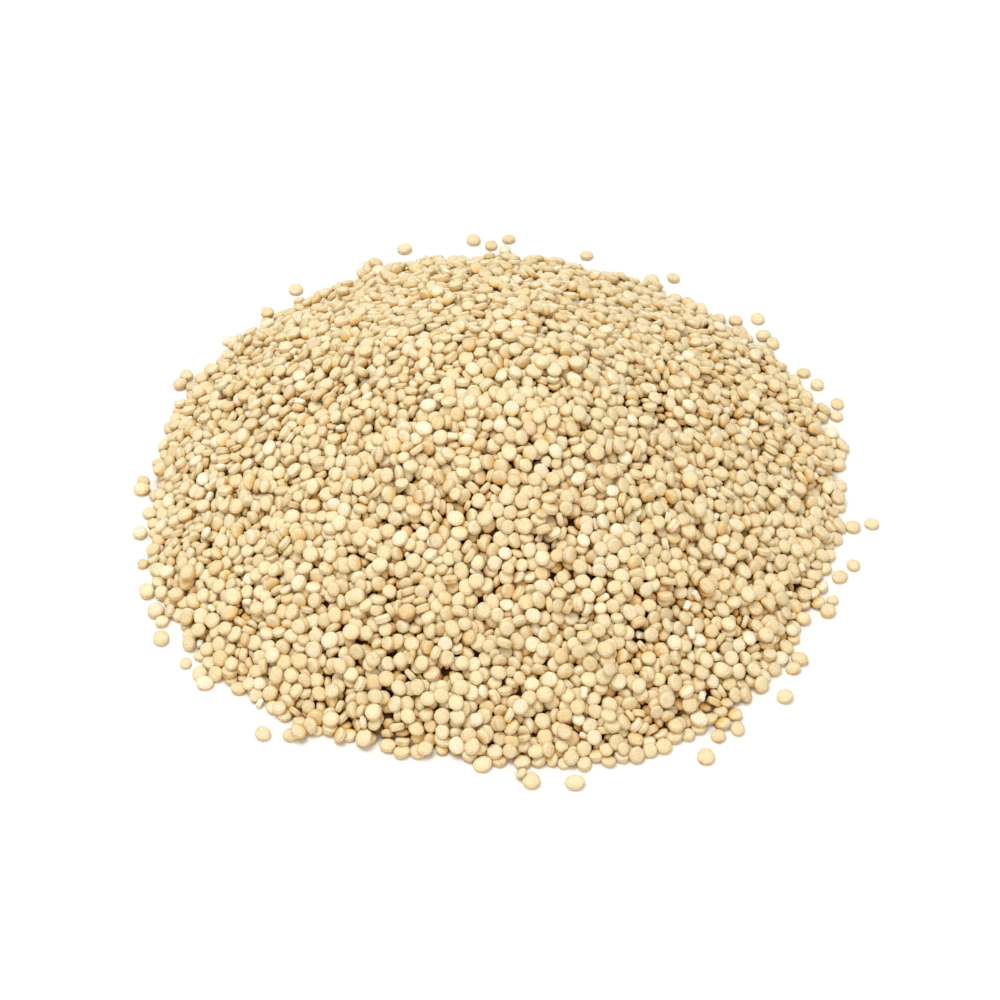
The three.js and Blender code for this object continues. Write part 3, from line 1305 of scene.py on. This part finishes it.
    def settled(self) -> Seeds:
        """Packs all the seeds.

        Returns:
            The seeds, at rest.
        """
        one = 4 / 3 * math.pi * self.radius**3 * self.flatness
        count = int(self.form.layer_volume() * self.fill / one) - self.sprinkled
        seeds = self.strays.joined(self.scattered(count))
        self.settle(seeds, self.rounds, *self.FIRST_PULL)
        for _ in range(self.batches):
            seeds.weight = np.maximum(seeds.weight, self.LYING_WEIGHT)
            seeds = seeds.joined(self.sprinkle(seeds, self.sprinkled // self.batches))
            self.settle(seeds, self.late_rounds, *self.LATE_PULL)
            seeds = seeds.chosen(self.low_enough(seeds))
        seeds = seeds.joined(self.foot_seeds())
        loose = (np.arange(len(seeds)) >= len(seeds) - self.fringe)[:, None]
        self.settle(seeds, self.late_rounds, *(pull * loose for pull in self.FRINGE_PULL))
        return seeds.chosen(np.arange(len(seeds)) >= len(self.strays))


# ---------------------------------------------------------------- joined meshes of seeds


@dataclass
class SeedMesh:
    """Many seeds joined into one mesh.

    Args:
        name: The piece's name.
        finish: Its finish.
        form: The heap's form.
        under: How far below a seed's own top the painted shade of its lower side begins, and where it is
            full.
        below: How far below a seed's own top the painted shadow begins, and where it is darkest.
        buried: How deep under the heap's surface the painted shadow begins, and where it is darkest.
        thinness: How thick the seeds are drawn, as a share of the thickness that they settled with.
        batches: The vertices, corners, face sizes and normals of each batch, with both attributes.
    """

    # How much each kind of gap adds to the gap attribute, which sets the painted shade and shadow on the
    # seeds
    LOWER_SIDE, DARK_BELOW, DARK_DEEP = 0.5, 0.7, 1.0
    # How far seeds are out of round, and after how many times that it stops
    OVALNESS, MOST_SPREADS = 0.06, 1.6

    name: str
    finish: SeedFinish
    form: HeapForm
    under: Span = (0.40, 0.95)
    below: Span = (0.90, 1.45)
    buried: Span = (1.05, 1.75)
    thinness: float = 0.97
    batches: list[tuple[np.ndarray, ...]] = field(default_factory=list)

    def gap(self, seeds: Seeds, places: np.ndarray) -> np.ndarray:
        """Says how far into a gap between seeds each vertex is, which sets how much painted shade it gets.

        Args:
            seeds: The seeds.
            places: The places of the vertices of each seed.

        Returns:
            0.5 on the lower side of each seed, and more where the painted shadow is dark.
        """
        outward = self.form.outward(seeds.place)
        top = dot(seeds.place + seeds.furthest(outward), outward)
        down = (top[:, None] - np.einsum("nvx,nx->nv", places, outward)).ravel()
        depth = self.form.depth(places.reshape(-1, 3))
        lower = np.interp(down, self.under, (0.0, self.LOWER_SIDE))
        lower = lower + np.interp(down, self.below, (0.0, self.DARK_BELOW))
        return lower + np.interp(depth, self.buried, (0.0, self.DARK_DEEP))

    def add(self, shape: Shape, seeds: Seeds, mood: np.ndarray, draw: np.random.Generator) -> None:
        """Adds a copy of a shape for each seed, turned at random about its axis and a little out of round.

        Args:
            shape: The shape.
            seeds: The seeds.
            mood: The shade and the warmth of each seed.
            draw: The random numbers.
        """
        count = len(seeds)
        side = unit(np.cross(seeds.axis, draw.normal(0.0, 1.0, (count, 3))))
        other = np.cross(seeds.axis, side)
        oval = 1 + self.OVALNESS * draw.normal(0.0, 1.0, count).clip(-self.MOST_SPREADS, self.MOST_SPREADS)
        thick = self.thinness * seeds.half / shape.half
        sizes = np.column_stack([seeds.radius * oval, seeds.radius / oval, thick])
        turns = np.stack([side, other, seeds.axis], 1)
        places = np.einsum("vk,nkx->nvx", shape.points, turns * sizes[..., None]) + seeds.place[:, None, :]
        normals = unit(np.einsum("vk,nkx->nvx", shape.normals, turns / sizes[..., None]).reshape(-1, 3))
        own = np.tile(shape.points / np.array([1.0, 1.0, shape.half]), (count, 1))
        corners = shape.corners[None, :] + len(shape.points) * np.arange(count)[:, None]
        moods = np.column_stack([np.repeat(mood, len(shape.points), 0), self.gap(seeds, places)])
        sides = np.tile(shape.sides, count)
        self.batches.append((places.reshape(-1, 3), corners.ravel(), sides, normals, own, moods))

    def build(self, nodes: Iterable[str]) -> bpy.types.Object:
        """Makes the piece.

        Args:
            nodes: The nodes that it replaces.

        Returns:
            The piece.
        """
        starts = np.cumsum([0] + [len(batch[0]) for batch in self.batches])
        places, _, sides, normals, own, moods = (np.concatenate(parts) for parts in zip(*self.batches))
        corners = np.concatenate([batch[1] + start for batch, start in zip(self.batches, starts)])
        mesh = bpy.data.meshes.new(self.name)
        mesh.vertices.add(len(places))
        mesh.vertices.foreach_set("co", (places * MM).ravel())
        mesh.loops.add(len(corners))
        mesh.loops.foreach_set("vertex_index", corners)
        mesh.polygons.add(len(sides))
        mesh.polygons.foreach_set("loop_start", np.cumsum(sides) - sides)
        mesh.update(calc_edges=True)
        mesh.shade_smooth()
        for name, rows in ((PLACE_ATTRIBUTE, own), (MOOD_ATTRIBUTE, moods)):
            attribute = mesh.attributes.new(name, "FLOAT_VECTOR", "POINT")
            attribute.data.foreach_set("vector", rows.ravel())
        mesh.normals_split_custom_set_from_vertices(normals)
        mesh.materials.append(self.finish.material())
        piece = bpy.data.objects.new(self.name, mesh)
        bpy.context.scene.collection.objects.link(piece)
        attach(piece, BODY)
        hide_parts(*nodes)
        return piece


# ---------------------------------------------------------------- the heap


@dataclass
class HeapCore:
    """The inside of the heap, with relief of the seeds' size and a dark painted shade, which shows in the
    deepest gaps and underneath.

    Args:
        form: The heap's form.
        finish: Its finish.
        sunk: How far it is under the seeds' surface.
        spacing: The distance between its vertices.
        seed: The size of the seeds in its relief.
        relief: How high they stand.
        base: The height of its underside.
        draw: The random numbers.
    """

    # Where in its cell a bump's middle is, how wide its dome is, and a square distance that no dome reaches
    SHAKE, DOME_WIDTH, FAR = (0.15, 0.85), 0.6, 9.0
    # How high over its underside the core is cut off, and how much lower the relief is underneath
    EDGE_HEIGHT, UNDER_RELIEF = 0.4, 0.5

    form: HeapForm
    finish: CoreFinish = CoreFinish()
    sunk: float = 2.7
    spacing: float = 0.55
    seed: float = 2.0
    relief: float = 0.5
    base: float = 0.05
    draw: np.random.Generator = field(default_factory=lambda: np.random.default_rng(5))

    def bumps(self, places: np.ndarray) -> np.ndarray:
        """How high the relief stands at places, as round bumps on a shaken lattice.

        Args:
            places: The places.

        Returns:
            The heights.
        """
        cell = np.floor((places - self.form.low) / self.seed).astype(int) + 1
        shake = self.draw.uniform(*self.SHAKE, (*(cell.max(0) + 2), 2))
        nearest = np.full(len(places), self.FAR)
        for step in NEIGHBOURS:
            x, y = (cell + step).T
            spot = self.form.low + (np.stack([x, y], 1) - 1 + shake[x, y]) * self.seed
            nearest = np.minimum(nearest, dot(places - spot, places - spot))
        return self.relief * np.sqrt(np.clip(1 - nearest / (self.DOME_WIDTH * self.seed) ** 2, 0.0, 1.0))

    def build(self) -> bpy.types.Object:
        """Models the core as a grid that is cut to the heap's outline, raised, and closed underneath.

        Returns:
            The piece.
        """
        size = (np.array(self.form.top.shape) - 1) * self.form.spacing
        middle = self.form.low + size / 2
        steps = int(size.max() / self.spacing)
        deselect_all()
        bpy.ops.mesh.primitive_grid_add(
            x_subdivisions=steps, y_subdivisions=steps, size=size.max() * MM, location=(*middle * MM, 0.0)
        )
        core = bpy.context.object
        bpy.ops.object.transform_apply(location=True, rotation=False, scale=False)
        core.name = core.data.name = "heap_core"

        def level(place: Vector) -> float:
            """How high the smooth core is at a place."""
            return float(self.form.height(np.array([place[:2]]) / MM)[0]) - self.sunk

        select_only(core, "FACE", lambda face: level(face.center) < self.base + self.EDGE_HEIGHT)
        bpy.ops.mesh.delete(type="FACE")
        bpy.ops.mesh.select_all(action="SELECT")
        bpy.ops.mesh.duplicate()
        bpy.ops.mesh.flip_normals()
        bpy.ops.object.mode_set(mode="OBJECT")
        count = len(core.data.vertices)
        places = np.empty(count * 3)
        core.data.vertices.foreach_get("co", places)
        places = places.reshape(-1, 3) / MM
        half = count // 2
        flat = places[:half, :2]
        places[:half, 2] = self.form.height(places[:half]) - self.sunk + self.bumps(flat)
        places[half:, 2] = self.base + self.UNDER_RELIEF * (self.relief - self.bumps(flat))
        core.data.vertices.foreach_set("co", (places * MM).ravel())
        core.data.update()
        bpy.ops.object.mode_set(mode="EDIT")
        bpy.ops.mesh.select_mode(type="EDGE")
        bpy.ops.mesh.select_all(action="DESELECT")
        bpy.ops.mesh.select_non_manifold()
        bpy.ops.mesh.bridge_edge_loops()
        bpy.ops.mesh.select_all(action="SELECT")
        bpy.ops.mesh.normals_make_consistent(inside=False)
        deselect_all()
        core.data.shade_smooth()
        core.data.materials.clear()
        core.data.materials.append(self.finish.material())
        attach(core, BODY)
        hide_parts(HEAP_NODE)
        return core


@dataclass
class QuinoaHeap:
    """The heap: a core, and the seeds that have settled on it.

    Args:
        form: The heap's form.
        seeds: The settled seeds.
        plain_depth: How deep under the surface seeds have a plainer shape.
        hidden_depth: How deep under the surface seeds never show and are left out.
        draw: The random numbers.
    """

    # The lower seeds' shade is painted shade: they are drawn darker because they lie deep in the heap
    SHADE_SPREAD, WARMTH_POWER, LOWER_SHADE = 0.18, 3, 0.6

    form: HeapForm
    seeds: Seeds
    plain_depth: float = 1.5
    hidden_depth: float = 2.45
    draw: np.random.Generator = field(default_factory=lambda: np.random.default_rng(23))

    def moods(self, usual: float, count: int) -> np.ndarray:
        """The shade and warmth of seeds of one kind.

        Args:
            usual: How dark the kind usually is.
            count: How many seeds there are.

        Returns:
            Two numbers for each seed.
        """
        shade = usual + self.draw.normal(0.0, self.SHADE_SPREAD, count)
        warmth = self.draw.random(count) ** self.WARMTH_POWER
        return np.column_stack([np.clip(shade, 0.0, 1.0), warmth])

    def kinds(self) -> np.ndarray:
        """The number of each seed's kind."""
        shares = np.array([kind.value.share for kind in SeedKind])
        return self.draw.choice(len(shares), len(self.seeds), p=shares / shares.sum())

    def build(self) -> list[bpy.types.Object]:
        """Joins the seeds by kind, with the deeper ones in a piece of their own.

        Returns:
            The pieces.
        """
        shapes = [
            WholeSeed(uneven=0.05, mould=1),
            WholeSeed(uneven=0.05, mould=2, flat=0.64, beak=0.09),
            WholeSeed(uneven=0.06, mould=3, band=0.21, flat=0.64),
            WholeSeed(uneven=0.07, mould=4, wedge=0.25),
            WholeSeed(uneven=0.06, mould=5, band=0.15, flat=0.50, beak=0.12),
        ]
        models = [shape.shape() for shape in shapes]
        scraps = [
            BrokenSeed(),
            BrokenSeed(length=0.64, width=0.45),
            WholeSeed(sides=8, steps=1, uneven=0.12, mould=9),
        ]
        scrap_models = [scrap.shape() for scrap in scraps]
        plain = WholeSeed(sides=8, steps=1).shape()
        depth = self.form.depth(self.seeds.place)
        kinds = self.kinds()
        seen = depth < self.plain_depth
        bearing = np.arctan2(self.seeds.place[:, 1], self.seeds.place[:, 0]) / math.tau + 0.5
        pieces = []
        for number, kind in enumerate(SeedKind):
            look = kind.value
            sector = np.minimum((bearing * look.pieces).astype(int), look.pieces - 1)
            for part in range(look.pieces):
                name = f"{kind.name.lower()}_seeds" + (f"_{part + 1}" if look.pieces > 1 else "")
                joined = SeedMesh(name, look.finish, self.form)
                chosen = seen & (kinds == number) & (sector == part)
                own_models = scrap_models if kind is SeedKind.CHALK else models
                model = self.draw.integers(0, len(own_models), len(self.seeds))
                for choice, shape in enumerate(own_models):
                    seeds = self.seeds.chosen(chosen & (model == choice))
                    joined.add(shape, seeds, self.moods(look.shade, len(seeds)), self.draw)
                pieces.append(joined.build([HEAP_NODE]))
        # The deeper seeds are drawn darker as painted shade
        lower = (depth >= self.plain_depth) & (depth < self.hidden_depth)
        joined = SeedMesh("lower_seeds", SeedKind.CREAM.value.finish, self.form)
        joined.add(plain, self.seeds.chosen(lower), self.moods(self.LOWER_SHADE, lower.sum()), self.draw)
        pieces.append(joined.build([HEAP_NODE]))
        return pieces


@dataclass
class StraySeeds:
    """The seeds that lie apart from the heap, each where its solid is.

    Args:
        form: The heap's form.
        tilt: How far they lean, as they lie on their slightly round faces.
        thinness: Their thickness, for a solid's thickness of 1.
        finish: Their finish.
        draw: The random numbers.

    Attributes:
        nodes: The nodes of their solids.
        seeds: The seeds.
    """

    SHADE, SHADE_SPREAD, WARMTH_POWER = 0.45, 0.20, 2
    # Where the painted shade and shadow on the stray seeds' lower sides begin and are full
    UNDER, BELOW = (0.8, 2.0), (1.6, 2.4)

    form: HeapForm
    tilt: float = 0.10
    thinness: float = 0.72
    finish: SeedFinish = SeedKind.CREAM.value.finish
    draw: np.random.Generator = field(default_factory=lambda: np.random.default_rng(31))
    nodes: list[str] = field(init=False)
    seeds: Seeds = field(init=False)

    def __post_init__(self) -> None:
        """Takes the seeds' places and sizes from their solids."""
        self.nodes = sorted(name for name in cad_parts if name.startswith(STRAY_PREFIX))
        boxes = np.array([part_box(name) for name in self.nodes]) / MM
        size = boxes[:, 1] - boxes[:, 0]
        centre = (boxes[:, 1] + boxes[:, 0]) / 2
        count = len(self.nodes)
        up = np.tile(UP, (count, 1))
        axis = unit(up + self.draw.normal(0.0, self.tilt, (count, 3)))
        half = self.thinness * size[:, 2] / 2
        self.seeds = Seeds(centre, axis, size[:, :2].mean(1) / 2, half, np.full(count, Seeds.FIXED))
        self.seeds.place[:, 2] = dot(self.seeds.furthest(up), up)

    def build(self) -> bpy.types.Object:
        """Joins the stray seeds into one piece.

        Returns:
            The piece.
        """
        count = len(self.seeds)
        shade = np.clip(self.draw.normal(self.SHADE, self.SHADE_SPREAD, count), 0.0, 1.0)
        mood = np.column_stack([shade, self.draw.random(count) ** self.WARMTH_POWER])
        joined = SeedMesh(
            "stray_seeds", self.finish, self.form, under=self.UNDER, below=self.BELOW, thinness=1.0
        )
        models = [
            WholeSeed(sides=16, steps=3, band=0.12, flat=0.50, uneven=0.04, mould=6),
            WholeSeed(sides=16, steps=3, band=0.12, flat=0.50, dish=0.04, uneven=0.04, mould=7, beak=0.10),
            WholeSeed(sides=16, steps=3, band=0.14, flat=0.55, wedge=0.20, uneven=0.05, mould=8),
        ]
        for number, model in enumerate(models):
            these = np.arange(count) % len(models) == number
            joined.add(model.shape(), self.seeds.chosen(these), mood[these], self.draw)
        return joined.build(self.nodes)


# ---------------------------------------------------------------- the studio


@dataclass(frozen=True)
class SoftLight:
    """A square soft light that shines at the heap.

    Args:
        name: Its name.
        place: Where it is.
        size: How wide it is.
        power: Its power in watts.
        colour: Its colour.
    """

    name: str
    place: Point
    size: float
    power: float
    colour: Colour

    def build(self) -> None:
        """Makes the light."""
        deselect_all()
        bpy.ops.object.light_add(type="AREA", location=Vector(self.place) * MM)
        light = bpy.context.object
        light.name = self.name
        light.data.size = self.size * MM
        light.data.energy = self.power
        light.data.color = self.colour
        light.rotation_euler = (-light.location).to_track_quat("-Z", "Y").to_euler()


@dataclass
class Studio:
    """The floor, the lights and the camera.

    Args:
        elevation: How far the camera looks down, in degrees.
        distance: How far the camera is from what it looks at.
        lens: The camera's focal length.
        sensor: The width of its sensor.
        nearest: How near things may be that it sees.
        aim: The place that it looks at, from the middle of the heap.
        floor: The floor's size.
        sky: How bright the light from all around is.
        sky_colour: The colour of that light.
        lights: A large soft light over the heap, a little to its left, and a weak warm one in front.
    """

    elevation: float = 47.5
    distance: float = 320.0
    lens: float = 83.9
    sensor: float = 36.0
    nearest: float = 10.0
    aim: Point = (-0.14, -1.93, 0.0)
    floor: float = 4000.0
    sky: float = 0.60
    sky_colour: Colour = (1.0, 0.995, 0.985)
    lights: tuple[SoftLight, ...] = (
        SoftLight("key", place=(-130.0, 50.0, 630.0), size=360.0, power=3.0, colour=(1.0, 1.0, 0.985)),
        SoftLight("front_fill", place=(80.0, -520.0, 330.0), size=300.0, power=0.8, colour=(1.0, 0.76, 0.52)),
    )

    def build_floor(self) -> None:
        """Makes the floor."""
        deselect_all()
        bpy.ops.mesh.primitive_plane_add(size=self.floor * MM)
        floor = bpy.context.object
        floor.name = floor.data.name = "floor"
        floor.data.materials.append(FloorFinish().material())
        floor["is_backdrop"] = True

    def build_lights(self) -> None:
        """Makes a pale sky and the lights."""
        world = bpy.data.worlds.new("pale_sky")
        world.use_nodes = True
        background = world.node_tree.nodes["Background"]
        background.inputs["Color"].default_value = (*self.sky_colour, 1.0)
        background.inputs["Strength"].default_value = self.sky
        bpy.context.scene.world = world
        for light in self.lights:
            light.build()

    def build_camera(self) -> None:
        """Makes the camera, which looks at the heap from in front and above."""
        low, high = (Vector(corner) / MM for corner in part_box(HEAP_NODE))
        middle = (low + high) / 2
        slope = math.radians(self.elevation)
        place = Vector((middle.x, middle.y, 0.0)) + Vector(self.aim)
        place += self.distance * Vector((0.0, -math.cos(slope), math.sin(slope)))
        deselect_all()
        bpy.ops.object.camera_add(location=place * MM, rotation=(math.pi / 2 - slope, 0.0, 0.0))
        camera = bpy.context.object
        camera.name = "camera"
        camera.data.lens = self.lens
        camera.data.sensor_width = self.sensor
        camera.data.clip_start = self.nearest * MM
        bpy.context.scene.camera = camera
        bpy.context.scene.view_settings.view_transform = "Standard"

    def build(self) -> None:
        """Makes the whole studio."""
        self.build_floor()
        self.build_lights()
        self.build_camera()


def report(piece: bpy.types.Object) -> None:
    """Logs a piece's name and size."""
    mesh = piece.data
    triangles = sum(len(face.vertices) - 2 for face in mesh.polygons)
    LOG.info("%s: %d faces, %d triangles", piece.name, len(mesh.polygons), triangles)


def main() -> None:
    """Builds the studio, the heap and the stray seeds."""
    logging.basicConfig(level=logging.INFO, format="%(relativeCreated)8d ms  %(message)s")
    Studio().build()
    form = HeapForm()
    LOG.info("heap form: %.0f cubic mm of seeds", form.layer_volume())
    strays = StraySeeds(form)
    seeds = SeedPacking(form, strays.seeds).settled()
    LOG.info("settled seeds: %d", len(seeds))
    pieces = [HeapCore(form).build(), *QuinoaHeap(form, seeds).build(), strays.build()]
    for piece in pieces:
        report(piece)
    boxes = {"cad": CAD_BOX, "visual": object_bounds()}
    {name: [list(corner) for corner in box] for name, box in boxes.items()}


if __name__ == "__main__":
    main()
